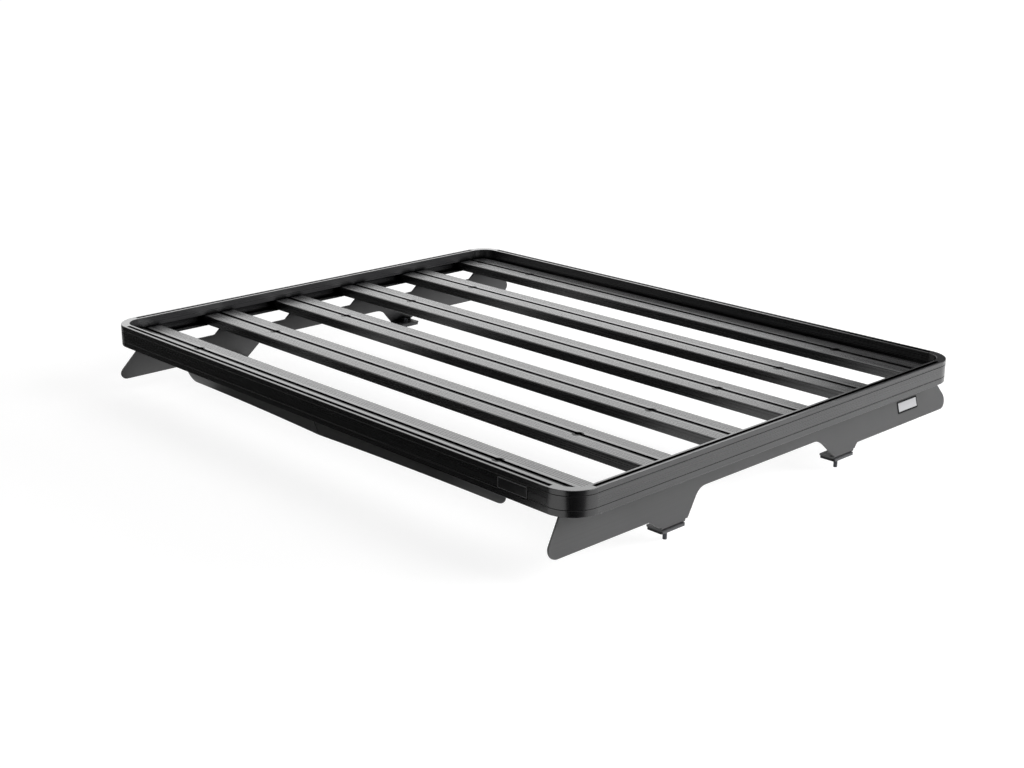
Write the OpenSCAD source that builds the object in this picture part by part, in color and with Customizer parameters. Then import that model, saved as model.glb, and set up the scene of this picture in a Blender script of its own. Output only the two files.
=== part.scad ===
// Flat platform roof rack: a rounded rail frame, six slotted slats, two foot rails on
// rubber pads with studs, and a two-piece air deflector under the front rail.
// Millimetres. X runs across the vehicle, the front faces -Y, Z is up. The origin is
// the bottom centre of the whole rack, at the tips of the front studs.

/* [Frame] */
// Width of the tray across the vehicle, over the rails
tray_width = 1475; // [1200:1:1700]
// Length of the tray along the vehicle, over the rails
tray_length = 1156; // [1000:1:1500]
// Outer radius of the tray's corners
corner_radius = 60; // [50:1:80]
// Height of the rail's outer face
rail_height = 48.4; // [46:0.1:60]
// Width of the rail's upper box
rail_box_width = 19; // [18:0.5:21]
// How far the rail's bottom flange reaches in from the outer face
rail_flange_reach = 24.5; // [22:0.5:30]
// Thickness of the rail's outer wall
rail_wall = 2.6; // [2:0.1:3]
// Thickness of the rail's bottom flange
rail_flange = 2.7; // [2:0.1:4]
// Width of the groove's mouth along the rail's top
rail_groove_mouth = 6.8; // [5:0.1:7]
// Distance of that groove's centre line from the outer face
rail_groove_inset = 9.7; // [9:0.1:10]
// Width of the groove's chamber below its lips
rail_groove_chamber = 10; // [8:0.1:11]
// Depth of the groove's chamber
rail_groove_depth = 5; // [3:0.1:6]
// Depth of the upper trim line in the outer face, below the rail's top
trim_line_upper = 10; // [8:0.1:14]
// Depth of the lower trim line in the outer face, below the rail's top
trim_line_lower = 35.5; // [30:0.1:40]
// Radius on the rail's outer edges
rail_edge_radius = 1.2; // [0.5:0.1:2]
// Length of a corner's spigot inside each rail
spigot_length = 28; // [15:1:40]
// Free play between a spigot and the rail round it
spigot_play = 0.2; // [0.1:0.05:0.4]

/* [Slats] */
// Distance of the first and last slats' centre lines from the tray's ends
slat_end_inset = 73; // [70:0.5:90]
// Width of a slat
slat_width = 81; // [70:1:90]
// Height of a slat
slat_height = 22.3; // [21:0.1:24]
// Wall thickness of a slat
slat_wall = 2; // [1.5:0.1:2.5]
// Width of a slat's slot at its mouth
slot_mouth = 8.5; // [8.3:0.1:9.5]
// Thickness of the lips beside the mouth
slot_lip = 2.3; // [1.8:0.1:2.8]
// Width of the slot below its lips
slot_chamber = 17.5; // [16:0.1:19]
// Depth of the slot below its lips
slot_depth = 6.8; // [6:0.1:7]
// Distance of each round bolt entry from the tray's side
entry_inset = 254.5; // [200:0.5:400]
// Diameter of a bolt entry
entry_diameter = 14; // [12:0.5:16]
// Distance between the fine grooves in a slat's top face
rib_pitch = 5.6; // [5:0.1:5.8]
// Width of a fine groove
rib_groove_width = 1.3; // [0.8:0.1:2]
// Depth of a fine groove
rib_groove_depth = 0.5; // [0.3:0.1:0.7]
// Radius on a slat's long edges
slat_edge_radius = 2.5; // [0.5:0.1:3]
// Depth of the step in a slat's long sides, below its top face
slat_step_depth = 7.6; // [5:0.1:12]
// How far a slat's sides are set back below that step
slat_setback = 0.8; // [0.3:0.1:1]
// Gap between a slat's end and the outer wall of the rail
slat_end_gap = 0.4; // [0.2:0.1:2]
// Gap between a slat's top face and the rail's upper box
slat_top_gap = 0.2; // [0.1:0.05:0.5]

/* [Foot rails] */
// Distance of the bend line under the slats, in the outer face, from the tray's side
foot_rail_inset = 60.5; // [58:0.5:90]
// Outward lean of the sheet from the vertical, in degrees
foot_lean = 14; // [6:0.5:18]
// Thickness of the foot rail's sheet
foot_sheet = 4; // [3:0.1:5]
// Outer radius of every bend in the sheet
bend_radius = 6; // [5.2:0.1:6.5]
// Where the front edge meets the front wing's lower edge, ahead of the tray's front
front_tip_overhang = 26.5; // [20:0.5:60]
// Where the rear edge meets the rear wing's lower edge, behind the tray's rear
rear_tip_overhang = 54.5; // [40:0.5:70]
// Slope of the front edge from the vertical, in degrees
front_edge_slope = 38.3; // [28:0.1:40]
// Slope of the rear edge from the vertical, in degrees
rear_edge_slope = 33.8; // [28:0.1:40]
// Depth of the front wing's lower edge below the rail's top
front_wing_depth = 126; // [120:0.5:132]
// Depth of the rear wing's lower edge below the rail's top
rear_wing_depth = 130; // [124:0.5:134]
// Depth of the middle arch's edge below the rail's top
arch_depth = 98.2; // [90:0.1:104]
// Depth of the sheet's upper edge between the slats
upper_edge_depth = 64.5; // [60:0.5:72]
// Radius of the front tip
front_tip_radius = 16; // [10:0.5:20]
// Radius of the rear tip
rear_tip_radius = 20; // [10:0.5:22]
// Slope of a leg's edge beside the arch from the vertical, in degrees
leg_slope = 43; // [30:0.5:48]
// Half width of a tab at the sheet's upper edge
tab_base = 40; // [34:1:45]
// Half width of a tab at its bend
tab_half = 27; // [14:1:30]
// Reach of a tab under its slat
tab_reach = 43; // [38:1:60]
// Distance of a tab's bolt from the sheet's bend line
tab_bolt_inset = 27.5; // [20:0.5:29]

/* [Feet] */
// Distance of the front foot ahead of the tray's middle
front_foot_offset = 281.5; // [275:0.5:300]
// Distance of the rear foot behind the tray's middle
rear_foot_offset = 239.5; // [230:0.5:250]
// Length of a foot along the vehicle
foot_length = 65; // [50:1:70]
// Reach of a foot's flange in from the foot's bend line
foot_reach = 37.5; // [32:0.5:45]
// Depth of the front foot's flange below the rail's top
front_foot_depth = 150.5; // [148:0.5:160]
// Depth of the rear foot's flange below the rail's top
rear_foot_depth = 146.5; // [144:0.5:150]
// Distance of a rubber pad from the foot's bend line
pad_inset = 0.5; // [0:0.5:6]
// Thickness of a rubber pad
pad_height = 5; // [3:0.1:8]
// Corner radius of a rubber pad
pad_corner = 4; // [2:0.5:8]
// Distance of the studs from the feet's bend lines
stud_inset = 21; // [20:0.5:22.5]
// Length of a stud below its pad
stud_drop = 23.5; // [15:0.5:40]

/* [Fastenings] */
// Diameter of the bolts and studs
bolt_diameter = 8; // [6:0.1:8]
// Free play of a bolt in its hole, on the diameter
bolt_play = 0.6; // [0.3:0.1:1]
// Width of a hexagon head or nut across its flats
hex_flats = 13; // [11:0.1:14]
// Height of a hexagon head
head_height = 5.3; // [4:0.1:6]
// Diameter of a low round head
button_diameter = 14; // [12:0.5:16]
// Height of a low round head
button_height = 3.4; // [3:0.1:4]
// Height of a hexagon nut
nut_height = 6.5; // [5:0.1:8]
// Diameter of a washer
washer_diameter = 16; // [15:0.5:18]
// Thickness of a washer
washer_height = 1.6; // [1:0.1:2]
// Length along the slat of a slot nut
slot_nut_length = 11; // [8:0.5:11]
// Height of a slot nut
slot_nut_height = 4; // [3:0.1:4.5]
// Free play of a slot nut across its slot
slot_nut_play = 1.5; // [0.5:0.1:3]
// Distance of the slat bolts from the rail's outer face
slat_bolt_inset = 8.8; // [8.5:0.1:10]
// Length of thread past a nut
thread_end = 2; // [1:0.5:5]

/* [Deflector] */
// Distance of the deflector's outer ends from the tray's sides
deflector_end_inset = 219.5; // [150:0.5:400]
// Slit between the two halves
deflector_slit = 3; // [1:0.5:6]
// Thickness of the deflector's sheet
deflector_sheet = 2; // [1.5:0.1:3]
// Set-back of the sheet's upper edge from the tray's front face at the slit
deflector_inset = 20.4; // [15:0.1:24]
// Depth of the sheet below the rail at the slit
deflector_drop_middle = 43.6; // [30:0.1:60]
// Depth of the sheet below the rail at its outer end
deflector_drop_end = 53.4; // [45:0.1:70]
// Backward lean of the sheet, in degrees
deflector_lean = 17.7; // [5:0.1:25]
// Backward sweep of each half, in degrees
deflector_sweep = 3; // [0:0.1:5]
// Radius of the lower outer corner
deflector_corner = 26; // [10:1:28]
// Distance of the inner bolt of each half from the tray's middle
deflector_bolt_inner = 90; // [40:1:150]
// Distance of the outer bolt of each half from the deflector's end
deflector_bolt_outer = 88; // [30:1:150]

/* [Hidden] */

powder_black = "#2f3032";
slat_black = "#3c3d3f";
rubber_black = "#1c1c1d";
dark_steel = "#55575a";

round_facets = 48;
arc_steps = 8;
trim_line_width = 1.4;
trim_line_depth = 0.8;
first_rib = 0.6 * rib_pitch;
cut_extra = 1;

slat_count = 6;
slat_pitch = (tray_length - 2 * slat_end_inset) / (slat_count - 1);
foot_rail_offset = tray_width / 2 - foot_rail_inset;
front_tip_reach = tray_length / 2 + front_tip_overhang;
rear_tip_reach = tray_length / 2 + rear_tip_overhang;
deflector_length = tray_width / 2 - deflector_end_inset;
deflector_bolts_x = [deflector_bolt_inner, deflector_length - deflector_bolt_outer];

// Heights are measured from the rail's top, downward negative
slat_bottom = -rail_height + rail_flange;
slat_top = slat_bottom + slat_height;
box_bottom = slat_top + slat_top_gap;
front_stud_tip = -(front_foot_depth + pad_height + stud_drop);
slat_half_length = tray_width / 2 - rail_wall - slat_end_gap;
entry_offset = tray_width / 2 - entry_inset;
first_slat = -slat_pitch * (slat_count - 1) / 2;
rail_run_x = tray_width - 2 * corner_radius;
rail_run_y = tray_length - 2 * corner_radius;

// Hollow of the rail's box below the groove, which takes the spigots
box_hollow_top = -(rail_wall + rail_groove_depth + rail_wall);
box_hollow_bottom = box_bottom + rail_wall;

// Radii in the foot rail's outline, and how far its legs' lower edges run past their flanges
leg_corner = 6;
foot_corner = 3;
tab_root_radius = 6;
arch_radius = 42;
front_leg_toe = 22.5;
rear_leg_heel = 12;
front_relief = [4, 6.5];
rear_relief = [0.5, 3.5];

// Where the tabs' bends start in the sheet's own plane, and its slanted ends along that line
tab_line = -bend_length(-foot_lean);
front_edge_top = -front_tip_reach + (tab_line - along(front_wing_depth)) * tan(front_edge_slope);
rear_edge_top = rear_tip_reach - (tab_line - along(rear_wing_depth)) * tan(rear_edge_slope);
stud_offset = bend_x((front_foot_depth + rear_foot_depth) / 2) - stud_inset;

// How far the rounded tips reach, which sets the middle of the whole rack
front_reach = rounded_reach(front_tip_reach, front_tip_radius, front_edge_slope);
rear_reach = rounded_reach(rear_tip_reach, rear_tip_radius, rear_edge_slope);
middle_y = (rear_reach - front_reach) / 2;

// Reach of a tip whose corner, between a level edge and a sloping one, is rounded
function rounded_reach(reach, radius, slope) = reach - radius * (1 / tan((90 - slope) / 2) - 1);
function slat_y(i) = first_slat + (i - 1) * slat_pitch;
function foot_y(front) = front ? -front_foot_offset : rear_foot_offset;
function foot_depth(front) = front ? front_foot_depth : rear_foot_depth;

// Height in the leaning sheet's own plane, from the bend line under the slats, of a depth
// below the rail's top, and how far out the sheet's face is at that depth
function along(depth) = -(depth + slat_bottom) / cos(foot_lean);
function bend_x(depth) = foot_rail_offset + (depth + slat_bottom) * tan(foot_lean);

// Length from a bend line to the bend's start, for a sheet that leans over its flange, and
// the height at which a foot's bend starts in the sheet's own plane
function bend_length(lean) = bend_radius * tan((90 + lean) / 2);
function foot_line(front) = along(foot_depth(front)) + bend_length(foot_lean);

// The stretch of a leg's lower edge, from its front end to its rear end
function leg(front) =
    let (relief = front ? front_relief : rear_relief)
    [foot_y(front) - foot_length / 2 - relief[0], foot_y(front) + foot_length / 2 + relief[1]];

// Points along a circular arc
function arc(centre, radius, from, to, steps = arc_steps) = [
    for (i = [0:steps])
        let (a = from + (to - from) * i / steps)
        [centre[0] + radius * cos(a), centre[1] + radius * sin(a)]
];

// Outline through corner points [x, y, radius], each corner rounded by its radius
function rounded(corners) = [
    for (i = [0:len(corners) - 1])
        each fillet(
            corners[(i + len(corners) - 1) % len(corners)],
            corners[i],
            corners[(i + 1) % len(corners)]
        )
];
function flat(p) = [p[0], p[1]];
function unit(v) = v / norm(v);
function fillet(before, corner, after) =
    corner[2] == 0 ? [flat(corner)] :
    let (
        u = unit(flat(before) - flat(corner)),
        v = unit(flat(after) - flat(corner)),
        half = acos(u * v) / 2,
        centre = flat(corner) + unit(u + v) * corner[2] / sin(half),
        start = flat(corner) + u * corner[2] / tan(half) - centre,
        end = flat(corner) + v * corner[2] / tan(half) - centre,
        from = atan2(start[1], start[0]),
        turn = (atan2(end[1], end[0]) - from + 540) % 360 - 180
    )
    arc(centre, corner[2], from, from + turn);

// A small V in a face that runs down the outline at x = 0
function trim_line(depth) = [
    [0, -depth + trim_line_width / 2, 0],
    [trim_line_depth, -depth, 0],
    [0, -depth - trim_line_width / 2, 0]
];

// Moves the tray, drawn with its middle at the rail's top, to the rack's own origin
module stand() {
    translate([0, -middle_y, -front_stud_tip])
        children();
}

module mirror_if(flip, direction) {
    if (flip)
        mirror(direction) children();
    else
        children();
}

// Runs a section along X: its x becomes Y and its y becomes Z
module along_x(length) {
    rotate([90, 0, 90])
        linear_extrude(height = length)
            children();
}

// Rail section, x inward from the outer face and y upward from the rail's bottom edge
module rail_outline(groove) {
    groove_left = rail_groove_inset - rail_groove_mouth / 2;
    groove_right = rail_groove_inset + rail_groove_mouth / 2;
    chamber_left = rail_groove_inset - rail_groove_chamber / 2;
    chamber_right = rail_groove_inset + rail_groove_chamber / 2;
    chamber_floor = -rail_wall - rail_groove_depth;
    polygon(rounded(concat(
        [
            [0, -rail_height, rail_edge_radius],
            [rail_flange_reach, -rail_height, 0],
            [rail_flange_reach, slat_bottom, 0],
            [rail_wall, slat_bottom, 0],
            [rail_wall, box_bottom, 0],
            [rail_box_width, box_bottom, 0],
            [rail_box_width, 0, rail_edge_radius / 2]
        ],
        groove ? [
            [groove_right, 0, 0],
            [groove_right, -rail_wall, 0],
            [chamber_right, -rail_wall, 0],
            [chamber_right, chamber_floor, 0],
            [chamber_left, chamber_floor, 0],
            [chamber_left, -rail_wall, 0],
            [groove_left, -rail_wall, 0],
            [groove_left, 0, 0]
        ] : [],
        [[0, 0, rail_edge_radius]],
        trim_line(trim_line_upper),
        trim_line(trim_line_lower)
    )));
}

// The hollow in the rail's box, made smaller all round by the given play
module box_hollow(play) {
    translate([rail_wall + play, box_hollow_bottom + play])
        square([
            rail_box_width - 2 * (rail_wall + play),
            box_hollow_top - box_hollow_bottom - 2 * play
        ]);
}

module rail_section() {
    difference() {
        rail_outline(true);
        box_hollow(0);
    }
}

// Front rail, or the rear one when flipped
module cross_rail(rear) {
    color(powder_black)
        stand()
            mirror_if(rear, [0, 1, 0])
                translate([-rail_run_x / 2, -tray_length / 2, 0])
                    along_x(rail_run_x)
                        rail_section();
}

// Left rail, or the right one when flipped
module side_rail(right) {
    color(powder_black)
        stand()
            mirror_if(right, [1, 0, 0])
                difference() {
                    translate([-tray_width / 2, rail_run_y / 2, 0])
                        rotate([90, 0, 0])
                            linear_extrude(height = rail_run_y)
                                rail_section();
                    for (i = [1:slat_count])
                        translate([-tray_width / 2 + slat_bolt_inset, slat_y(i), -rail_height])
                            bolt_hole(rail_flange);
                }
}

// Corner casting with a spigot for each of its two rails
module corner(right, rear) {
    color(powder_black)
        stand()
            mirror_if(!right, [1, 0, 0])
                mirror_if(rear, [0, 1, 0])
                    translate([tray_width / 2 - corner_radius, -tray_length / 2 + corner_radius, 0])
                        corner_casting();
}

module corner_casting() {
    rotate([0, 0, -90])
        rotate_extrude(angle = 90, $fn = round_facets)
            translate([corner_radius, 0])
                mirror([1, 0])
                    rail_outline(false);
    translate([-spigot_length, -corner_radius, 0])
        along_x(spigot_length)
            box_hollow(spigot_play);
    translate([corner_radius, 0, 0])
        rotate([90, 0, 180])
            linear_extrude(height = spigot_length)
                box_hollow(spigot_play);
}

// Slat section, x across the slat and y upward from its top face
module slat_outline() {
    half = slat_width / 2;
    rib_count = floor((half - slot_chamber / 2) / rib_pitch);
    ribs = [for (i = [0:rib_count - 1]) half - first_rib - rib_pitch * i];
    half_top = concat(
        [for (y = ribs) each [
            [y + rib_groove_width / 2, 0, 0],
            [y, -rib_groove_depth, 0],
            [y - rib_groove_width / 2, 0, 0]
        ]],
        slot_half(0, 1)
    );
    half_bottom = slot_half(-slat_height, -1);
    right_side = concat(
        [for (i = [len(half_bottom) - 1:-1:0]) half_bottom[i]],
        [
            [half - slat_setback, -slat_height, slat_edge_radius / 2],
            [half - slat_setback, -slat_step_depth, 0],
            [half, -slat_step_depth, 0],
            [half, 0, slat_edge_radius]
        ],
        half_top
    );
    left_side = [for (i = [len(right_side) - 1:-1:0])
        [-right_side[i][0], right_side[i][1], right_side[i][2]]];
    polygon(rounded(concat(right_side, left_side)));
}

// Half of a slot that opens in the face at the given height, from its mouth inward
function slot_half(face, side) = [
    [slot_mouth / 2, face, 0],
    [slot_mouth / 2, face - side * slot_lip, 0],
    [slot_chamber / 2, face - side * slot_lip, 0],
    [slot_chamber / 2, face - side * (slot_lip + slot_depth), 0]
];

// The two hollow chambers beside the slots
module slat_hollows() {
    inner = slot_chamber / 2 + slat_wall;
    for (side = [0, 1])
        mirror([side, 0])
            translate([inner, -slat_height + slat_wall])
                square([
                    slat_width / 2 - slat_setback - slat_wall - inner,
                    slat_height - 2 * slat_wall
                ]);
}

// One slat, its ends trimmed to the inside of the rails' rounded corners
module slat(i) {
    color(slat_black)
        stand()
            intersection() {
                translate([-slat_half_length, slat_y(i), slat_top])
                    difference() {
                        along_x(2 * slat_half_length)
                            difference() {
                                slat_outline();
                                slat_hollows();
                            }
                        for (side = [-1, 1])
                            translate([slat_half_length + side * entry_offset, 0, -slot_lip - cut_extra])
                                cylinder(d = entry_diameter, h = slot_lip + 2 * cut_extra, $fn = round_facets);
                    }
                translate([0, 0, slat_bottom - cut_extra])
                    tray_inside(slat_height + 2 * cut_extra);
            }
}

// The space inside the rails' outer walls
module tray_inside(height) {
    inset = rail_wall + slat_end_gap;
    x = tray_width / 2 - inset;
    y = tray_length / 2 - inset;
    r = corner_radius - inset;
    linear_extrude(height = height)
        polygon(rounded([[x, -y, r], [x, y, r], [-x, y, r], [-x, -y, r]]));
}

// Foot rail in its own plane, x rearward and y upward from the bend line under the slats
module foot_rail_side() {
    front_leg = leg(true);
    rear_leg = leg(false);
    front_line = foot_line(true);
    rear_line = foot_line(false);
    arch = along(arch_depth);
    polygon(rounded(concat(
        [
            [front_edge_top, tab_line, 0],
            [-front_tip_reach, along(front_wing_depth), front_tip_radius],
            [front_leg[0] - front_leg_toe, along(front_wing_depth), leg_corner],
            [front_leg[0], front_line, 0],
            [front_leg[1], front_line, foot_corner],
            [front_leg[1] + (arch - front_line) * tan(leg_slope), arch, arch_radius],
            [rear_leg[0] - (arch - rear_line) * tan(leg_slope), arch, arch_radius],
            [rear_leg[0], rear_line, 0],
            [rear_leg[1], rear_line, foot_corner],
            [rear_leg[1] + rear_leg_heel, along(rear_wing_depth), leg_corner],
            [rear_tip_reach, along(rear_wing_depth), rear_tip_radius],
            [rear_edge_top, tab_line, 0],
            [slat_y(slat_count) - tab_half, tab_line, 0]
        ],
        [for (i = [slat_count - 1:-1:1]) each tab_gap(slat_y(i), slat_y(i + 1))],
        [[slat_y(1) + tab_half, tab_line, 0]]
    )));
}

// The dip in the upper edge between the tabs of two slats, from the rear one forward
function tab_gap(front, rear) = concat(
    [tab_root(rear, -1), tab_root(front, 1)],
    front > first_slat ? [[front + tab_half, tab_line, 0], [front - tab_half, tab_line, 0]] : []
);
function tab_root(y, side) = [y + side * tab_base, along(upper_edge_depth), tab_root_radius];

// A bend and a flat flange below the bend's start, x inward from the sheet's outer face, for
// a sheet that leans over its flange; the reach is measured from the bend line
module bent_flange(reach, lean) {
    along_flange = [cos(lean), sin(lean)];
    across_flange = [-sin(lean), cos(lean)];
    centre = [bend_radius, 0];
    tip = centre - bend_radius * across_flange + (reach - bend_length(lean)) * along_flange;
    polygon(concat(
        arc(centre, bend_radius, 180, 270 + lean),
        [tip, tip + foot_sheet * across_flange],
        arc(centre, bend_radius - foot_sheet, 270 + lean, 180)
    ));
}

// Foot rail on the right side, before its bolt holes
module foot_rail_blank() {
    translate([foot_rail_offset, 0, slat_bottom])
        rotate([0, -foot_lean, 0]) {
            translate([-foot_sheet, 0, 0])
                along_x(foot_sheet)
                    foot_rail_side();
            for (i = [1:slat_count])
                translate([0, slat_y(i) + tab_half, tab_line])
                    rotate([90, 0, 0])
                        linear_extrude(height = 2 * tab_half)
                            rotate(180)
                                bent_flange(tab_reach, -foot_lean);
            for (front = [true, false])
                translate([0, foot_y(front) + foot_length / 2, foot_line(front)])
                    rotate([90, 0, 0])
                        linear_extrude(height = foot_length)
                            mirror([1, 0])
                                bent_flange(foot_reach, foot_lean);
        }
}

module bolt_hole(depth) {
    translate([0, 0, -cut_extra])
        cylinder(d = bolt_diameter + bolt_play, h = depth + 2 * cut_extra, $fn = round_facets);
}

module foot_rail(right) {
    color(powder_black)
        stand()
            mirror_if(!right, [1, 0, 0])
                difference() {
                    foot_rail_blank();
                    for (i = [1:slat_count])
                        translate([foot_rail_offset - tab_bolt_inset, slat_y(i), slat_bottom - foot_sheet])
                            bolt_hole(foot_sheet);
                    for (front = [true, false])
                        translate([stud_offset, foot_y(front), -foot_depth(front)])
                            bolt_hole(foot_sheet);
                }
}

// Rubber pad under a foot, with a hole for its stud
module foot_pad(right, front) {
    half = foot_length / 2;
    outer = bend_x(foot_depth(front)) - pad_inset;
    inner = bend_x(foot_depth(front)) - foot_reach;
    color(rubber_black)
        stand()
            mirror_if(!right, [1, 0, 0])
                translate([0, foot_y(front), -foot_depth(front) - pad_height])
                    difference() {
                        linear_extrude(height = pad_height)
                            polygon(rounded([
                                [inner, -half, pad_corner],
                                [outer, -half, pad_corner],
                                [outer, half, pad_corner],
                                [inner, half, pad_corner]
                            ]));
                        translate([stud_offset, 0, 0])
                            bolt_hole(pad_height);
                    }
}

module hexagon(height) {
    cylinder(d = hex_flats / cos(30), h = height, $fn = 6);
}

// Stud through a foot and its pad, with a washer and nut on the flange
module foot_stud(right, front) {
    below = pad_height + stud_drop;
    above = foot_sheet + washer_height + nut_height + thread_end;
    color(dark_steel)
        stand()
            mirror_if(!right, [1, 0, 0])
                translate([stud_offset, foot_y(front), -foot_depth(front)]) {
                    translate([0, 0, -below])
                        cylinder(d = bolt_diameter, h = below + above, $fn = round_facets);
                    translate([0, 0, foot_sheet])
                        cylinder(d = washer_diameter, h = washer_height, $fn = round_facets);
                    translate([0, 0, foot_sheet + washer_height])
                        hexagon(nut_height);
                }
}

// Shank up into a slat's lower slot, from the underside of what it clamps to the slot nut
module slot_shank(clamped) {
    cylinder(d = bolt_diameter, h = clamped + slot_lip + slot_nut_height, $fn = round_facets);
    translate([-slot_nut_length / 2, -(slot_chamber - slot_nut_play) / 2, clamped + slot_lip])
        cube([slot_nut_length, slot_chamber - slot_nut_play, slot_nut_height]);
}

// Slot bolt with a hexagon head and a washer
module hexagon_bolt(clamped) {
    slot_shank(clamped);
    translate([0, 0, -washer_height])
        cylinder(d = washer_diameter, h = washer_height, $fn = round_facets);
    translate([0, 0, -washer_height - head_height])
        hexagon(head_height);
}

// Slot bolt with a low round head, narrower at its free end
module button_bolt(clamped) {
    slot_shank(clamped);
    translate([0, 0, -button_height])
        cylinder(d1 = bolt_diameter, d2 = button_diameter, h = button_height, $fn = round_facets);
}

// The bolts that hold the slats' ends on the side rail's flange
module slat_bolts(right) {
    color(dark_steel)
        stand()
            mirror_if(!right, [1, 0, 0])
                for (i = [1:slat_count])
                    translate([tray_width / 2 - slat_bolt_inset, slat_y(i), -rail_height])
                        button_bolt(rail_flange);
}

// The bolts that hold a foot rail's tabs under the slats
module tab_bolts(right) {
    color(dark_steel)
        stand()
            mirror_if(!right, [1, 0, 0])
                for (i = [1:slat_count])
                    translate([foot_rail_offset - tab_bolt_inset, slat_y(i), slat_bottom - foot_sheet])
                        hexagon_bolt(foot_sheet);
}

// One half of the deflector: a leaning sheet and the flange under the first slat
module deflector(right) {
    lean_cos = cos(deflector_lean);
    start = deflector_slit / 2;
    middle = deflector_drop_middle / lean_cos;
    end = deflector_drop_end / lean_cos;
    edge_steps = 10;
    lower_edge = [for (i = [0:edge_steps])
        let (share = i / edge_steps)
        [
            start + (deflector_length - start) * share,
            -middle - (end - middle) * share * share,
            i < edge_steps ? 0 : deflector_corner
        ]];
    color(powder_black)
        stand()
            mirror_if(!right, [1, 0, 0])
                difference() {
                    union() {
                        translate([0, -tray_length / 2 + deflector_inset, -rail_height])
                            rotate([0, 0, deflector_sweep])
                                rotate([90 + deflector_lean, 0, 0])
                                    mirror([0, 0, 1])
                                        linear_extrude(height = deflector_sheet)
                                            polygon(rounded(concat(
                                                [[deflector_length, 0, 0], [start, 0, 0]],
                                                lower_edge
                                            )));
                        translate([0, 0, -rail_height - deflector_sheet])
                            linear_extrude(height = deflector_sheet)
                                deflector_flange();
                    }
                    for (x = deflector_bolts_x)
                        translate([x, slat_y(1), -rail_height - deflector_sheet])
                            bolt_hole(deflector_sheet);
                }
}

// The deflector's flange seen from above, from its bend back to behind the bolts
module deflector_flange() {
    front = -tray_length / 2 + deflector_inset;
    rear = slat_y(1) + washer_diameter;
    start = deflector_slit / 2;
    end = deflector_length * cos(deflector_sweep);
    polygon([
        [start, front + start * tan(deflector_sweep)],
        [end, front + end * tan(deflector_sweep)],
        [end, rear],
        [start, rear]
    ]);
}

// The deflector's bolts, each with a spacer that fills the step below the slat
module deflector_bolts() {
    color(dark_steel)
        stand()
            for (side = [-1, 1], x = deflector_bolts_x)
                translate([side * x, slat_y(1), -rail_height - deflector_sheet]) {
                    hexagon_bolt(deflector_sheet + rail_flange);
                    translate([0, 0, deflector_sheet])
                        cylinder(d = washer_diameter, h = rail_flange, $fn = round_facets);
                }
}

cross_rail(rear = false);  // front_rail
cross_rail(rear = true);  // rear_rail
side_rail(right = false);  // left_rail
side_rail(right = true);  // right_rail
corner(right = false, rear = false);  // corner_front_left
corner(right = true, rear = false);  // corner_front_right
corner(right = false, rear = true);  // corner_rear_left
corner(right = true, rear = true);  // corner_rear_right
slat(1);  // slat_1
slat(2);  // slat_2
slat(3);  // slat_3
slat(4);  // slat_4
slat(5);  // slat_5
slat(6);  // slat_6
foot_rail(right = false);  // foot_rail_left
foot_rail(right = true);  // foot_rail_right
foot_pad(right = false, front = true);  // foot_pad_front_left
foot_pad(right = true, front = true);  // foot_pad_front_right
foot_pad(right = false, front = false);  // foot_pad_rear_left
foot_pad(right = true, front = false);  // foot_pad_rear_right
foot_stud(right = false, front = true);  // foot_stud_front_left
foot_stud(right = true, front = true);  // foot_stud_front_right
foot_stud(right = false, front = false);  // foot_stud_rear_left
foot_stud(right = true, front = false);  // foot_stud_rear_right
deflector(right = false);  // deflector_left
deflector(right = true);  // deflector_right
deflector_bolts();
slat_bolts(right = false);  // slat_bolts_left
slat_bolts(right = true);  // slat_bolts_right
tab_bolts(right = false);  // tab_bolts_left
tab_bolts(right = true);  // tab_bolts_right
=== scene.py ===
"""Looks of the flat platform roof rack: finishes, threads, bare plates, floor, light and camera.

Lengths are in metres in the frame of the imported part, unless a name ends in _mm.
"""

import logging
import math
from dataclasses import dataclass, replace
from enum import Enum

import bpy
from mathutils import Matrix, Vector


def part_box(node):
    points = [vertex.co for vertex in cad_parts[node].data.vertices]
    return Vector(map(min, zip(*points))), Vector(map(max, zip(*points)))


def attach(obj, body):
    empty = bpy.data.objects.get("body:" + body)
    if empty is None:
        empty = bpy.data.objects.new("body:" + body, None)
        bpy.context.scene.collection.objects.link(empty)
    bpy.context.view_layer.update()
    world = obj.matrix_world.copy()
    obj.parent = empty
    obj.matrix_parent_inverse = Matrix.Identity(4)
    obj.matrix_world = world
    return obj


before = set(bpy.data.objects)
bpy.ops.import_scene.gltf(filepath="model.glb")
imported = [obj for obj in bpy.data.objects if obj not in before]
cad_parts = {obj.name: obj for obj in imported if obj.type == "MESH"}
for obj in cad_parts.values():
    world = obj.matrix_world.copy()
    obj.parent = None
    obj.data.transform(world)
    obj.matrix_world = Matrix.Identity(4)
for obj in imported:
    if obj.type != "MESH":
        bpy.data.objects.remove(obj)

logging.basicConfig(level=logging.INFO, format="%(message)s")
log = logging.getLogger("roof_rack")

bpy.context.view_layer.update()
MM = 0.001
BODY = "root"
CORNERS = ("front_left", "front_right", "rear_left", "rear_right")
# Noise keeps between these values nearly everywhere, so patterns are stretched from there.
NOISE_LOW, NOISE_HIGH = 0.3, 0.7
# The share of colour and sheen that is left where shade is painted, on lips and in narrow gaps.
PAINTED_SHADE_SHARE = 0.04

Face = tuple[int, ...]
Spot = tuple[float, float]
Place = tuple[float, float, float]


class Run(Enum):
    """The direction in which an extrusion, a slot or a rolled sheet runs. The value is its axis."""

    ACROSS = 0
    ALONG = 1
    UP = 2


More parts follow.
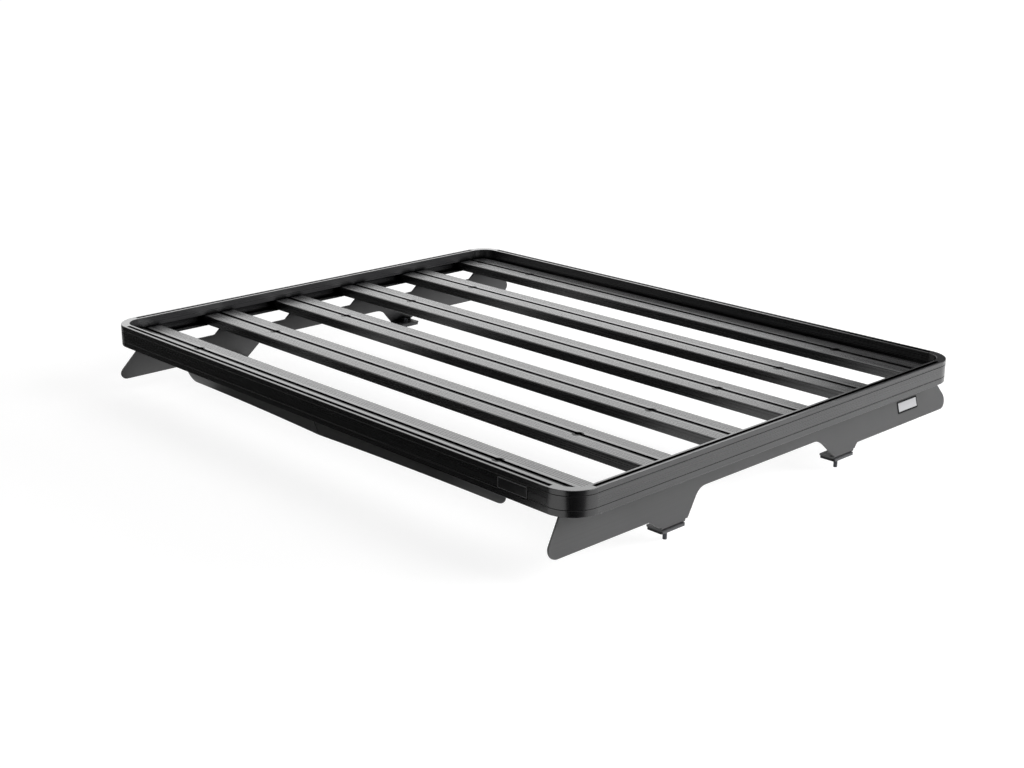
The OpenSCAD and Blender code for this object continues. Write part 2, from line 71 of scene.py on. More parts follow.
def linear(hex_colour: str) -> tuple[float, float, float, float]:
    """Turns an sRGB hex colour into linear RGBA.

    Args:
        hex_colour: Six hex digits with a leading hash.

    Returns:
        Linear red, green and blue, and an alpha of 1.
    """
    channels = [int(hex_colour[i:i + 2], 16) / 255 for i in (1, 3, 5)]
    red, green, blue = (c / 12.92 if c <= 0.04045 else ((c + 0.055) / 1.055) ** 2.4 for c in channels)
    return (red, green, blue, 1.0)


def add_node(
    tree: bpy.types.NodeTree,
    kind: str,
    settings: dict[str, object] | None = None,
    inputs: dict[str | int, object] | None = None,
) -> bpy.types.Node:
    """Adds a node to a tree, with its settings and what its inputs get.

    Args:
        tree: The tree that gets the node.
        kind: The node's type name.
        settings: Attributes of the node and their values.
        inputs: Input name or number, to a plain value or to the output socket that feeds it.

    Returns:
        The new node.
    """
    node = tree.nodes.new(kind)
    for name, value in (settings or {}).items():
        setattr(node, name, value)
    for name, value in (inputs or {}).items():
        if isinstance(value, bpy.types.NodeSocket):
            tree.links.new(value, node.inputs[name])
        else:
            node.inputs[name].default_value = value
    return node


def new_material(name: str) -> tuple[bpy.types.Material, bpy.types.NodeTree]:
    """Makes an empty node material.

    Args:
        name: The material's name.

    Returns:
        The material and its cleared node tree.
    """
    material = bpy.data.materials.new(name)
    material.use_nodes = True
    material.node_tree.nodes.clear()
    return material, material.node_tree


@dataclass(frozen=True)
class SlotLips:
    """Painted shade on the lips along a slot or groove, standing for rounded lips that turn away from the
    light.

    The solids have sharp lips. The eye sees a slot, and the round bolt entries in it, wider and blacker
    than their mouths, so the shade is painted into the coat's colour and sheen.
    """

    centre: float
    half_width: float
    # Slots repeat at the pitch. It is longer than the rack where there is only one.
    pitch: float = 10.0
    blend: float = 0.8 * MM
    entry_from_middle: float | None = None
    entry_radius: float = 0.0

    def mask(
        self, tree: bpy.types.NodeTree, place: bpy.types.NodeSocket, run: Run,
    ) -> bpy.types.NodeSocket:
        """Adds the nodes that paint shade on the lips.

        Args:
            tree: The tree that gets the nodes.
            place: The point's coordinates in the frame's axes.
            run: The direction of the slot.

        Returns:
            A socket for the painted shade: near 0 on the lips and 1 elsewhere.
        """
        along, across = ("X", "Y") if run is Run.ACROSS else ("Y", "X")
        split = add_node(tree, "ShaderNodeSeparateXYZ", None, {0: place})
        folded = add_node(tree, "ShaderNodeMath", {"operation": "WRAP"}, {
            0: split.outputs[across], 1: self.centre + self.pitch / 2, 2: self.centre - self.pitch / 2})
        offset = add_node(tree, "ShaderNodeMath", {"operation": "SUBTRACT"}, {
            0: folded.outputs[0], 1: self.centre})
        from_slot = add_node(tree, "ShaderNodeMath", {"operation": "ABSOLUTE"}, {0: offset.outputs[0]})
        dark = [(from_slot.outputs[0], self.half_width)]
        if self.entry_from_middle is not None:
            mirrored = add_node(tree, "ShaderNodeMath", {"operation": "ABSOLUTE"}, {0: split.outputs[along]})
            beside = add_node(tree, "ShaderNodeMath", {"operation": "SUBTRACT"}, {
                0: mirrored.outputs[0], 1: self.entry_from_middle})
            flat = add_node(tree, "ShaderNodeCombineXYZ", None, {0: beside.outputs[0], 1: offset.outputs[0]})
            from_entry = add_node(tree, "ShaderNodeVectorMath", {"operation": "LENGTH"}, {0: flat.outputs[0]})
            dark.append((from_entry.outputs["Value"], self.entry_radius))
        mask = 1.0
        for distance, reach in dark:
            shade = add_node(tree, "ShaderNodeMapRange", None, {
                "Value": distance, "From Min": reach, "From Max": reach + self.blend,
                "To Min": PAINTED_SHADE_SHARE, "To Max": 1.0})
            mask = add_node(tree, "ShaderNodeMath", {"operation": "MINIMUM"}, {
                0: mask, 1: shade.outputs["Result"]}).outputs[0]
        return mask


@dataclass(frozen=True)
class PowderCoat:
    """Polyester powder coat, sprayed dry and baked: a satin skin with a fine orange-peel grain.

    The coat hides the metal, so it is a dielectric. The eye gets a soft sheen at a flat angle, faint
    lines along the run of the metal below and a grain that breaks up the highlights.
    """

    name: str
    colour: str
    roughness: float
    run: Run
    specular: float = 1.0
    # The grain is drawn about three times coarser than the real 0.4 mm, or it wouldn't show.
    grain_mm: float = 1.1
    grain_height_mm: float = 0.02
    line_mm: float = 2.2
    line_length_mm: float = 900.0
    cloud_mm: float = 90.0
    cloud_share: float = 0.03
    line_share: float = 0.06
    sheen_swing: float = 0.05
    shade_reach_mm: float = 16.0
    # How much of the surroundings a point sees where the painted shade is blackest, and where none is
    # painted.
    shade_blackest_at: float = 0.66
    shade_free_at: float = 0.96
    # Shade painted on the lips of a slot or groove, if any.
    lips: SlotLips | None = None

    def material(self) -> bpy.types.Material:
        """Builds the coat's material.

        Returns:
            The material.
        """
        material, tree = new_material(self.name)
        place = add_node(tree, "ShaderNodeTexCoord").outputs["Object"]
        lines = self.drawn_lines(tree, place)
        tone_and_shade = self.tone_and_shade(tree, place, lines)
        colour = add_node(tree, "ShaderNodeVectorMath", {"operation": "SCALE"}, {
            0: linear(self.colour)[:3], "Scale": tone_and_shade})
        gloss = add_node(tree, "ShaderNodeMath", {"operation": "MULTIPLY"}, {0: tone_and_shade, 1: self.specular})
        sheen = add_node(tree, "ShaderNodeMapRange", None, {
            "Value": lines, "From Min": NOISE_LOW, "From Max": NOISE_HIGH,
            "To Min": self.roughness - self.sheen_swing, "To Max": self.roughness + self.sheen_swing})
        grain = add_node(tree, "ShaderNodeTexNoise", None, {
            "Vector": place, "Scale": 1 / (self.grain_mm * MM), "Detail": 2.0, "Roughness": 0.6})
        bump = add_node(tree, "ShaderNodeBump", None, {
            "Strength": 0.6, "Distance": self.grain_height_mm * MM, "Height": grain.outputs["Fac"]})
        shader = add_node(tree, "ShaderNodeBsdfPrincipled", None, {
            "Base Color": colour.outputs[0], "Roughness": sheen.outputs["Result"], "IOR": 1.5,
            "Specular IOR Level": gloss.outputs[0], "Normal": bump.outputs["Normal"]})
        add_node(tree, "ShaderNodeOutputMaterial", None, {"Surface": shader.outputs[0]})
        return material

    def drawn_lines(self, tree: bpy.types.NodeTree, place: bpy.types.NodeSocket) -> bpy.types.NodeSocket:
        """Adds the faint lines that the metal below keeps from the die or the rolls.

        Args:
            tree: The tree that gets the nodes.
            place: The point's coordinates in the frame's axes.

        Returns:
            A socket with the lines' noise.
        """
        squeeze = [1 / (self.line_mm * MM)] * 3
        squeeze[self.run.value] = 1 / (self.line_length_mm * MM)
        drawn = add_node(tree, "ShaderNodeVectorMath", {"operation": "MULTIPLY"}, {0: place, 1: squeeze})
        lines = add_node(tree, "ShaderNodeTexNoise", None, {
            "Vector": drawn.outputs[0], "Scale": 1.0, "Detail": 3.0})
        return lines.outputs["Fac"]

    def tone_and_shade(
        self, tree: bpy.types.NodeTree, place: bpy.types.NodeSocket, lines: bpy.types.NodeSocket,
    ) -> bpy.types.NodeSocket:
        """Adds the cloudiness of the coat, and the shade painted into its recesses and on its lips.

        Args:
            tree: The tree that gets the nodes.
            place: The point's coordinates in the frame's axes.
            lines: The lines' noise.

        Returns:
            A socket that scales the coat's colour and sheen, painted shade included.
        """
        clouds = add_node(tree, "ShaderNodeTexNoise", None, {
            "Vector": place, "Scale": 1 / (self.cloud_mm * MM), "Detail": 3.0})
        factors = []
        for noise, share in ((clouds.outputs["Fac"], self.cloud_share), (lines, self.line_share)):
            tone = add_node(tree, "ShaderNodeMapRange", None, {
                "Value": noise, "From Min": NOISE_LOW, "From Max": NOISE_HIGH,
                "To Min": 1 - share, "To Max": 1 + share})
            factors.append(tone.outputs["Result"])
        # Painted shade: where the ambient occlusion finds little open room, in slots, joints and beside other
        # parts, colour and sheen go black.
        occlusion = add_node(tree, "ShaderNodeAmbientOcclusion", {"samples": 8}, {
            "Distance": self.shade_reach_mm * MM})
        painted_shade = add_node(tree, "ShaderNodeMapRange", None, {
            "Value": occlusion.outputs["AO"], "From Min": self.shade_blackest_at, "From Max": self.shade_free_at,
            "To Min": PAINTED_SHADE_SHARE, "To Max": 1.0})
        factors.append(painted_shade.outputs["Result"])
        # Shade painted on the lips of the slot or groove.
        if self.lips:
            factors.append(self.lips.mask(tree, place, self.run))
        tone_and_shade = factors[0]
        for factor in factors[1:]:
            tone_and_shade = add_node(tree, "ShaderNodeMath", {"operation": "MULTIPLY"}, {
                0: tone_and_shade, 1: factor}).outputs[0]
        return tone_and_shade


@dataclass(frozen=True)
class MouldedRubber:
    """EPDM rubber, compression moulded: dull, with a blasted-mould grain and a little pale bloom."""

    name: str = "moulded_epdm_rubber"
    colour: str = "#3c3c3d"
    bloom: str = "#4c4c4e"
    roughness: float = 0.78
    grain_mm: float = 0.7
    grain_height_mm: float = 0.1
    bloom_mm: float = 16.7

    def material(self) -> bpy.types.Material:
        """Builds the rubber's material.

        Returns:
            The material.
        """
        material, tree = new_material(self.name)
        place = add_node(tree, "ShaderNodeTexCoord").outputs["Object"]
        grain = add_node(tree, "ShaderNodeTexNoise", None, {
            "Vector": place, "Scale": 1 / (self.grain_mm * MM), "Detail": 4.0})
        patches = add_node(tree, "ShaderNodeTexNoise", None, {
            "Vector": place, "Scale": 1 / (self.bloom_mm * MM)})
        tint = add_node(tree, "ShaderNodeMix", {"data_type": "RGBA"}, {
            0: patches.outputs["Fac"], 6: linear(self.colour), 7: linear(self.bloom)})
        bump = add_node(tree, "ShaderNodeBump", None, {
            "Strength": 0.5, "Distance": self.grain_height_mm * MM, "Height": grain.outputs["Fac"]})
        shader = add_node(tree, "ShaderNodeBsdfPrincipled", None, {
            "Base Color": tint.outputs[2], "Roughness": self.roughness, "IOR": 1.52,
            "Normal": bump.outputs["Normal"]})
        add_node(tree, "ShaderNodeOutputMaterial", None, {"Surface": shader.outputs[0]})
        return material


@dataclass(frozen=True)
class ZincSteel:
    """Steel with black zinc plating: a dark metal with cloudy roughness from the dip and the wrench."""

    name: str = "black_zinc_steel"
    colour: str = "#5b5d61"
    dull: str = "#3c3d40"
    metallic: float = 0.9
    least_roughness: float = 0.28
    most_roughness: float = 0.5
    cloud_mm: float = 4.0

    def material(self) -> bpy.types.Material:
        """Builds the plated steel's material.

        Returns:
            The material.
        """
        material, tree = new_material(self.name)
        place = add_node(tree, "ShaderNodeTexCoord").outputs["Object"]
        clouds = add_node(tree, "ShaderNodeTexNoise", None, {
            "Vector": place, "Scale": 1 / (self.cloud_mm * MM), "Detail": 5.0})
        tint = add_node(tree, "ShaderNodeMix", {"data_type": "RGBA"}, {
            0: clouds.outputs["Fac"], 6: linear(self.colour), 7: linear(self.dull)})
        dullness = add_node(tree, "ShaderNodeMapRange", None, {
            "Value": clouds.outputs["Fac"], "To Min": self.least_roughness, "To Max": self.most_roughness})
        shader = add_node(tree, "ShaderNodeBsdfPrincipled", None, {
            "Base Color": tint.outputs[2], "Metallic": self.metallic,
            "Roughness": dullness.outputs["Result"]})
        add_node(tree, "ShaderNodeOutputMaterial", None, {"Surface": shader.outputs[0]})
        return material


@dataclass(frozen=True)
class PlateFinish:
    """Enamel print or anodising on a small plate: a flat satin face with a fine brushed grain."""

    name: str
    colour: str
    roughness: float = 0.45
    specular: float = 0.3
    grain_mm: float = 0.25
    grain_share: float = 0.1

    def material(self) -> bpy.types.Material:
        """Builds the finish's material.

        Returns:
            The material.
        """
        material, tree = new_material(self.name)
        place = add_node(tree, "ShaderNodeTexCoord").outputs["Object"]
        grain = add_node(tree, "ShaderNodeTexNoise", None, {
            "Vector": place, "Scale": 1 / (self.grain_mm * MM), "Detail": 2.0})
        tone = add_node(tree, "ShaderNodeMapRange", None, {
            "Value": grain.outputs["Fac"], "To Min": 1 - self.grain_share, "To Max": 1 + self.grain_share})
        colour = add_node(tree, "ShaderNodeVectorMath", {"operation": "SCALE"}, {
            0: linear(self.colour)[:3], "Scale": tone.outputs["Result"]})
        shader = add_node(tree, "ShaderNodeBsdfPrincipled", None, {
            "Base Color": colour.outputs[0], "Roughness": self.roughness,
            "Specular IOR Level": self.specular})
        add_node(tree, "ShaderNodeOutputMaterial", None, {"Surface": shader.outputs[0]})
        return material


def link_mesh(
    name: str, points: list[Vector] | list[Place], faces: list[Face], material: bpy.types.Material,
) -> bpy.types.Object:
    """Adds a mesh to the scene and reports it.

    Args:
        name: The object's name.
        points: Its vertices in the frame's axes.
        faces: Its faces as vertex numbers.
        material: Its material.

    Returns:
        The new object.
    """
    mesh = bpy.data.meshes.new(name)
    mesh.from_pydata([tuple(point) for point in points], [], faces)
    mesh.materials.append(material)
    added = bpy.data.objects.new(name, mesh)
    bpy.context.scene.collection.objects.link(added)
    log.info("%s: %d faces, %s", name, len(faces), material.name)
    return added


def add_piece(
    name: str,
    points: list[Vector],
    faces: list[Face],
    place: Matrix,
    material: bpy.types.Material,
    slot: str,
) -> None:
    """Adds a mesh piece that belongs to the rack.

    Args:
        name: The piece's name.
        points: Its vertices in its own axes.
        faces: Its faces as vertex numbers.
        place: Where it sits in the frame.
        material: Its material.
        slot: A material slot's name; it is not used.
    """
    piece = link_mesh(name, [place @ point for point in points], faces, material)
    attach(piece, BODY)


def dress(nodes: list[str], material: bpy.types.Material) -> None:
    """Gives CAD nodes one material.

    Args:
        nodes: The nodes' names.
        material: The material that they get.
    """
    for name in nodes:
        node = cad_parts[name]
        node.data.materials.clear()
        node.data.materials.append(material)
        log.info("%s: %s", name, material.name)


def rounded_loop(width: float, height: float, radius: float, level: float, steps: int = 6) -> list[Vector]:
    """Draws a rectangle with rounded corners.

    Args:
        width: Its size along x.
        height: Its size along y.
        radius: The radius of its corners.
        level: Its z.
        steps: Segments in each corner.

    Returns:
        The points, counter-clockwise.
    """
    points = []
    for corner, (sign_x, sign_y) in enumerate(((1, 1), (-1, 1), (-1, -1), (1, -1))):
        for step in range(steps + 1):
            angle = math.radians(90 * (corner + step / steps))
            points.append(Vector((
                sign_x * (width / 2 - radius) + radius * math.cos(angle),
                sign_y * (height / 2 - radius) + radius * math.sin(angle),
                level)))
    return points


def join_loops(loops: list[list[Vector]], capped: bool) -> tuple[list[Vector], list[Face]]:
    """Joins loops of equal length into a skin.

    Args:
        loops: The loops in order.
        capped: Whether the last loop is closed with a face; otherwise it is joined to the first.

    Returns:
        The points and the faces.
    """
    size = len(loops[0])
    points = [point for loop in loops for point in loop]
    joints = len(loops) - 1 if capped else len(loops)
    faces = [
        (row * size + i, row * size + (i + 1) % size,
         (row + 1) % len(loops) * size + (i + 1) % size, (row + 1) % len(loops) * size + i)
        for row in range(joints) for i in range(size)]
    if capped:
        faces.append(tuple(range((len(loops) - 1) * size, len(loops) * size)))
    return points, faces


@dataclass
class NamePlate:
    """A bare name plate: a dark rounded sheet with either a thin pale line or a pale panel on it."""

    name: str
    place: Matrix
    width: float
    height: float
    inset: float
    mark: PlateFinish
    slot: str
    line_width: float | None = None
    corner: float = 2 * MM
    least_corner: float = 0.3 * MM
    thickness: float = 0.8 * MM
    bevel: float = 0.2 * MM
    print_height: float = 0.06 * MM
    body: PlateFinish = PlateFinish("black_anodised_plate", "#0c0c0d", specular=0.08)

    def build(self) -> None:
        """Adds the sheet and what is printed on it."""
        trims = ((0.0, 0.0), (0.0, self.thickness - self.bevel), (self.bevel, self.thickness))
        sheet = join_loops([self.outline(trim, level) for trim, level in trims], True)
        add_piece(f"{self.name}_sheet", *sheet, self.place, self.body.material(), self.slot)
        top = self.thickness + self.print_height
        rings = [self.outline(self.inset, self.thickness), self.outline(self.inset, top)]
        if self.line_width is not None:
            inner = self.inset + self.line_width
            rings += [self.outline(inner, top), self.outline(inner, self.thickness)]
        printed = join_loops(rings, self.line_width is None)
        add_piece(f"{self.name}_print", *printed, self.place, self.mark.material(), self.slot)

    def outline(self, trim: float, level: float) -> list[Vector]:
        """Draws the plate's outline.

        Args:
            trim: How far the outline lies inside the plate's edge.
            level: Its height over the plate's back.

        Returns:
            The outline's points.
        """
        radius = max(self.corner - trim, self.least_corner)
        return rounded_loop(self.width - 2 * trim, self.height - 2 * trim, radius, level)


@dataclass
class StudThread:
    """The M8 thread on the end of a stud, as a ridge that winds round the CAD cylinder."""

    foot: str
    pitch: float = 1.25 * MM
    root_radius: float = 3.95 * MM
    crest_radius: float = 4.2 * MM
    tip_gap: float = 0.6 * MM
    steps: int = 28

    def build(self, steel: bpy.types.Material) -> None:
        """Adds the thread below the foot's pad.

        Args:
            steel: The stud's material.
        """
        low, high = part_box(f"foot_stud_{self.foot}")
        pad_low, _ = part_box(f"foot_pad_{self.foot}")
        start = low.z + self.tip_gap
        turns = (pad_low.z - start) / self.pitch - 1
        count = int(turns * self.steps)
        ridge = ((self.root_radius, 0.0), (self.crest_radius, self.pitch / 2), (self.root_radius, self.pitch))
        points = []
        for step in range(count + 1):
            angle = 2 * math.pi * step / self.steps
            rise = self.pitch * step / self.steps
            for radius, up in ridge:
                points.append(Vector((radius * math.cos(angle), radius * math.sin(angle), rise + up)))
        faces = [
            (3 * step + side, 3 * step + 3 + side, 3 * step + 4 + side, 3 * step + 1 + side)
            for step in range(count) for side in (0, 1)]
        middle = (low + high) / 2
        place = Matrix.Translation((middle.x, middle.y, start))
        add_piece(f"thread_{self.foot}", points, faces, place, steel, "fastener_steel")


@dataclass
class RailFrame:
    """The four rails and the four corner pieces."""

    coat: PowderCoat = PowderCoat("powder_coat_rail", "#202021", 0.29, Run.ACROSS, 0.92)
    corner_coat: PowderCoat = PowderCoat(
        "powder_coat_casting", "#232324", 0.24, Run.UP, 0.8, line_share=0.01, sheen_swing=0.01)
    groove_from_face: float = 9.4 * MM
    # Half the width of the shade painted along the groove's lips.
    lips_half_width: float = 4.8 * MM
    line: PlateFinish = PlateFinish("silver_enamel_line", "#ececee")
    plate: PlateFinish = PlateFinish("black_enamel_plate", "#202021", 0.3, 0.9)
    plate_width: float = 73 * MM
    plate_height: float = 21.5 * MM
    plate_from_side: float = 142.5 * MM
    plate_below_top: float = 24.25 * MM
    line_inset: float = 0.8 * MM
    line_width: float = 1.1 * MM

    def build(self) -> None:
        """Adds the bare plate at the right end of the front rail's face."""
        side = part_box("right_rail")[1].x
        low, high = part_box("front_rail")
        middle = Vector((side - self.plate_from_side, low.y, high.z - self.plate_below_top))
        place = Matrix.Translation(middle) @ Matrix.Rotation(math.radians(90), 4, "X")
        NamePlate(
            "front_plate", place, self.plate_width, self.plate_height, self.line_inset, self.line,
            "rail_black", self.line_width, body=self.plate).build()

    def dress(self) -> None:
        """Coats the rails and the corners."""
        runs = {"front": Run.ACROSS, "rear": Run.ACROSS, "left": Run.ALONG, "right": Run.ALONG}
        for end, run in runs.items():
            self.coat_rail(f"{end}_rail", run)
        dress([f"corner_{corner}" for corner in CORNERS], self.corner_coat.material())

    def coat_rail(self, rail: str, run: Run) -> None:
        """Coats one rail, with shade painted on the lips along the groove in its top.

        Args:
            rail: The rail's node.
            run: The direction of the rail.
        """
        across = 1 if run is Run.ACROSS else 0
        low, high = (corner[across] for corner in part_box(rail))
        # The rail's outer face is the one farther from the tray's middle.
        groove = low + self.groove_from_face if abs(low) > abs(high) else high - self.groove_from_face
        lips = SlotLips(groove, self.lips_half_width)
        dress([rail], replace(self.coat, name=f"powder_coat_{rail}", run=run, lips=lips).material())


@dataclass
class SlatDeck:
    """The six slats."""

    count: int = 6
    coat: PowderCoat = PowderCoat(
        "powder_coat_slat", "#262627", 0.28, Run.ACROSS, 1.0, line_mm=3.0, line_share=0.2)
    # Where the painted shade lies along the slots' lips and round the bolt entries.
    lips_shift: float = -1.7 * MM
    lips_half_width: float = 5.7 * MM
    entry_from_middle: float = 483.0 * MM
    entry_rim_radius: float = 11.5 * MM

    def dress(self) -> None:
        """Coats the slats, with shade painted on the lips along their slots and round their bolt entries."""
        first = self.middle(1)
        lips = SlotLips(
            first + self.lips_shift, self.lips_half_width, self.middle(2) - first,
            entry_from_middle=self.entry_from_middle, entry_radius=self.entry_rim_radius)
        coat = replace(self.coat, lips=lips)
        dress([f"slat_{number}" for number in range(1, self.count + 1)], coat.material())

    def middle(self, number: int) -> float:
        """Gives the y of a slat's middle, counted from the front."""
        return sum(corner.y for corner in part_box(f"slat_{number}")) / 2


@dataclass
class FootRails:
    """The two folded foot rails and the deflector's two sheets."""

    coat: PowderCoat = PowderCoat("powder_coat_foot_sheet", "#1c1c1d", 0.45, Run.ALONG)
    deflector_coat: PowderCoat = PowderCoat("powder_coat_deflector", "#2b2b2c", 0.35, Run.ACROSS)
    panel: PlateFinish = PlateFinish("grey_anodised_panel", "#929294")
    lean_deg: float = 14.0
    bend_from_side: float = 60.5 * MM
    bend_below_top: float = 45.7 * MM
    plate_width: float = 72 * MM
    plate_height: float = 25 * MM
    plate_down_sheet: float = 50.8 * MM
    plate_from_tray_middle: float = 477.0 * MM
    panel_inset: float = 3.3 * MM

    def build(self) -> None:
        """Adds the bare plate near the rear end of the right foot rail, flat on its leaning face."""
        low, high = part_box("right_rail")
        bend = Vector((
            high.x - self.bend_from_side,
            (low.y + high.y) / 2 + self.plate_from_tray_middle,
            high.z - self.bend_below_top))
        lean = Matrix.Rotation(math.radians(-self.lean_deg), 4, "Y")
        upright = Matrix.Rotation(math.radians(90), 4, "Z") @ Matrix.Rotation(math.radians(90), 4, "X")
        middle = bend + lean @ Vector((0, 0, -self.plate_down_sheet))
        NamePlate(
            "foot_plate", Matrix.Translation(middle) @ lean @ upright,
            self.plate_width, self.plate_height, self.panel_inset, self.panel, "sheet_black").build()

    def dress(self) -> None:
        """Coats the sheets."""
        dress(["foot_rail_left", "foot_rail_right"], self.coat.material())
        dress(["deflector_left", "deflector_right"], self.deflector_coat.material())


@dataclass
class Feet:
    """The rubber pads, the studs and the bolts."""

    rubber: MouldedRubber = MouldedRubber()
    steel: ZincSteel = ZincSteel()
    bolts: tuple[str, ...] = (
        "deflector_bolts", "slat_bolts_left", "slat_bolts_right", "tab_bolts_left", "tab_bolts_right")

    def dress_and_build(self) -> None:
        """Gives the pads their rubber and the fasteners their plating, and adds the studs' threads."""
        dress([f"foot_pad_{corner}" for corner in CORNERS], self.rubber.material())
        steel = self.steel.material()
        dress([f"foot_stud_{corner}" for corner in CORNERS] + list(self.bolts), steel)
        for corner in CORNERS:
            StudThread(corner).build(steel)


@dataclass(frozen=True)
class Cloth:
    """Matt cloth that only reflections see, in pieces that lie on the floor or stand on it."""

    name: str
    colour: str
    flat: tuple[tuple[Spot, ...], ...]
    standing: tuple[tuple[Spot, Spot], ...] = ()
    level: float = 0.004
    height: float = 4.0

    def build(self) -> None:
        """Adds the cloth as one mesh."""
        points = []
        faces = []
        for outline in self.flat:
            faces.append(tuple(range(len(points), len(points) + len(outline))))
            points += [(x, y, self.level) for x, y in outline]
        for (x0, y0), (x1, y1) in self.standing:
            faces.append(tuple(range(len(points), len(points) + 4)))
            points += [
                (x0, y0, self.level), (x1, y1, self.level), (x1, y1, self.height), (x0, y0, self.height)]
        material, tree = new_material(self.name)
        matt = add_node(tree, "ShaderNodeBsdfDiffuse", None, {"Color": linear(self.colour)})
        add_node(tree, "ShaderNodeOutputMaterial", None, {"Surface": matt.outputs[0]})
        cloth = link_mesh(self.name, points, faces, material)
        for ray in ("camera", "diffuse", "transmission", "shadow", "volume_scatter"):
            setattr(cloth, f"visible_{ray}", False)


@dataclass(frozen=True)
class Softbox:
    """A lamp behind a rectangle of cloth, which faces the rack."""

    name: str
    place: Place
    width: float
    height: float
    watts: float
    # Whether the rack's sheen shows the lamp.
    mirrored: bool = True
    target: Place = (0.0, 0.0, 0.1)

    def build(self) -> None:
        """Hangs the softbox."""
        lamp = bpy.data.lights.new(self.name, "AREA")
        lamp.shape = "RECTANGLE"
        lamp.size = self.width
        lamp.size_y = self.height
        lamp.energy = self.watts
        hang(lamp, self.place, self.target).visible_glossy = self.mirrored


def hang(data: bpy.types.Light | bpy.types.Camera, place: Place, target: Place) -> bpy.types.Object:
    """Puts a lamp or a camera at a place, turned to a target.

    Args:
        data: The lamp or the camera.
        place: Where it hangs.
        target: The point that it faces.

    Returns:
        Its object.
    """
    holder = bpy.data.objects.new(data.name, data)
    holder.location = place
    holder.rotation_euler = (Vector(target) - Vector(place)).to_track_quat("-Z", "Y").to_euler()
    bpy.context.scene.collection.objects.link(holder)
    log.info("%s hangs at %s", data.name, place)
    return holder


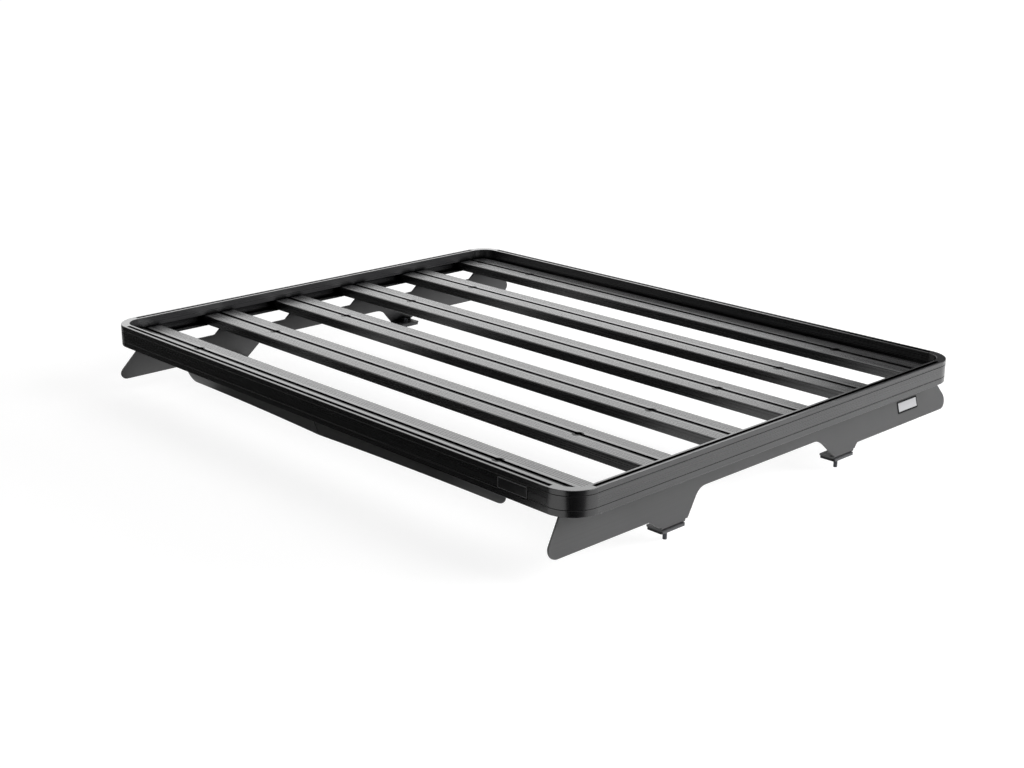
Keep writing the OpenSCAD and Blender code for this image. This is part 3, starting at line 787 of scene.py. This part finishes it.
@dataclass
class Studio:
    """Pale floor, dark cloths, soft lamps, white surroundings and the camera."""

    camera_place: Place = (2.3669, -2.26578, 1.1113)
    camera_target: Place = (0.23118, -0.24884, 0.179)
    lens_mm: float = 54.40
    sensor_mm: float = 36.0
    floor_half: float = 40.0
    floor_lit: str = "#404040"
    floor_seen: str = "#8a8a8a"
    # The floor's glow near the rack and far from it, and the distances between which it rises.
    glow_near: float = 0.86
    glow_far: float = 0.98
    glow_from: float = 1.5
    glow_to: float = 9.0
    surround_strength: float = 0.06
    sun_place: Place = (0.3, 1.6, 3.0)
    sun_strength: float = 0.6
    sun_angle_deg: float = 50.0
    softboxes: tuple[Softbox, ...] = (
        Softbox("right_rear_softbox", (4.3, 6.0, 1.5), 6.8, 2.8, 1330, mirrored=False),
        Softbox("right_high_softbox", (4.6, 1.7, 3.4), 2.5, 2.5, 180),
        Softbox("left_rear_softbox", (-3.5, 2.0, 1.5), 4.8, 2.6, 47))
    # The cloths hide the white from faces that look dark: grey ones lie under the rack and stand behind
    # it, dark ones are in front of it, and black ones are off its front right corner.
    cloths: tuple[Cloth, ...] = (
        Cloth("pale_cloth", "#b8b8b8", (((-5.0, -0.70), (0.46, -0.70), (0.46, -0.56), (-5.0, -0.56)),)),
        Cloth(
            "grey_cloth", "#666666",
            (((-0.55, -0.56), (0.29, -0.56), (0.29, 0.12), (0.44, 0.12), (0.44, 0.9), (-0.60, 0.9),
              (-0.60, -0.36)),
             ((-1.6, -0.56), (-0.70, -0.56), (-0.70, 0.9), (-1.6, 0.9))),
            (((-2.05, 4.2), (3.0, 5.5)),)),
        Cloth(
            "dark_cloth", "#464646",
            (((-5.0, -5.0), (0.22, -5.0), (0.43, -1.4), (0.46, -0.70), (-5.0, -0.70)),),
            (((-5.0, -5.0), (0.22, -5.0)),)),
        Cloth(
            "black_cloth", "#050505",
            (((0.79, -0.65), (1.80, -4.5), (4.8, -4.5), (4.8, 0.7)),),
            (((1.80, -4.5), (4.8, -4.5)), ((4.8, -4.5), (4.8, 0.7)))))

    def build(self) -> None:
        """Makes the floor, the cloths, the lamps, the surroundings and the camera."""
        self.add_floor()
        for cloth in self.cloths:
            cloth.build()
        sun = bpy.data.lights.new("overhead", "SUN")
        sun.energy = self.sun_strength
        sun.angle = math.radians(self.sun_angle_deg)
        hang(sun, self.sun_place, (0.0, 0.0, 0.0))
        for softbox in self.softboxes:
            softbox.build()
        self.add_surround()
        camera = bpy.data.cameras.new("photo_camera")
        camera.lens = self.lens_mm
        camera.sensor_width = self.sensor_mm
        bpy.context.scene.camera = hang(camera, self.camera_place, self.camera_target)

    def seen_directly(self, tree: bpy.types.NodeTree) -> bpy.types.NodeSocket:
        """Adds nodes that tell rays which see the background from rays which light the object.

        Args:
            tree: The tree that gets the nodes.

        Returns:
            A socket that is 1 for camera, glossy and transmission rays, and 0 for others.
        """
        path = add_node(tree, "ShaderNodeLightPath")
        seen = path.outputs["Is Camera Ray"]
        for ray in ("Is Glossy Ray", "Is Transmission Ray"):
            seen = add_node(tree, "ShaderNodeMath", {"operation": "MAXIMUM"}, {
                0: seen, 1: path.outputs[ray]}).outputs[0]
        return seen

    def add_floor(self) -> None:
        """Lays a pale floor that looks white and keeps the rack's shadow."""
        material, tree = new_material("pale_studio_floor")
        lit = add_node(tree, "ShaderNodeBsdfDiffuse", None, {"Color": linear(self.floor_lit)})
        pale = add_node(tree, "ShaderNodeBsdfDiffuse", None, {"Color": linear(self.floor_seen)})
        # The lamps light the floor near the rack only, so it glows more further out and stays one white.
        place = add_node(tree, "ShaderNodeTexCoord").outputs["Object"]
        distance = add_node(tree, "ShaderNodeVectorMath", {"operation": "LENGTH"}, {0: place})
        rise = add_node(tree, "ShaderNodeMapRange", {"interpolation_type": "SMOOTHSTEP"}, {
            "Value": distance.outputs["Value"], "From Min": self.glow_from, "From Max": self.glow_to,
            "To Min": self.glow_near, "To Max": self.glow_far})
        glow = add_node(tree, "ShaderNodeEmission", None, {
            "Color": linear("#ffffff"), "Strength": rise.outputs["Result"]})
        white = add_node(tree, "ShaderNodeAddShader", None, {0: pale.outputs[0], 1: glow.outputs[0]})
        surface = add_node(tree, "ShaderNodeMixShader", None, {
            0: self.seen_directly(tree), 1: lit.outputs[0], 2: white.outputs[0]})
        add_node(tree, "ShaderNodeOutputMaterial", None, {"Surface": surface.outputs[0]})
        half = self.floor_half
        points = [(-half, -half, 0.0), (half, -half, 0.0), (half, half, 0.0), (-half, half, 0.0)]
        link_mesh("floor", points, [(0, 1, 2, 3)], material)

    def add_surround(self) -> None:
        """Makes the surroundings white to the eye and dim as a light."""
        world = bpy.data.worlds.new("studio")
        bpy.context.scene.world = world
        world.use_nodes = True
        tree = world.node_tree
        tree.nodes.clear()
        dim = add_node(tree, "ShaderNodeBackground", None, {
            "Color": linear("#ffffff"), "Strength": self.surround_strength})
        white = add_node(tree, "ShaderNodeBackground", None, {"Color": linear("#ffffff"), "Strength": 1.0})
        mixed = add_node(tree, "ShaderNodeMixShader", None, {
            0: self.seen_directly(tree), 1: dim.outputs[0], 2: white.outputs[0]})
        add_node(tree, "ShaderNodeOutputWorld", None, {"Surface": mixed.outputs[0]})


def main() -> None:
    """Builds and dresses every sub-assembly in order."""
    bpy.context.scene.view_settings.view_transform = "Standard"
    rails = RailFrame()
    rails.dress()
    rails.build()
    SlatDeck().dress()
    foot_rails = FootRails()
    foot_rails.dress()
    foot_rails.build()
    Feet().dress_and_build()
    Studio().build()


if __name__ == "__main__":
    main()
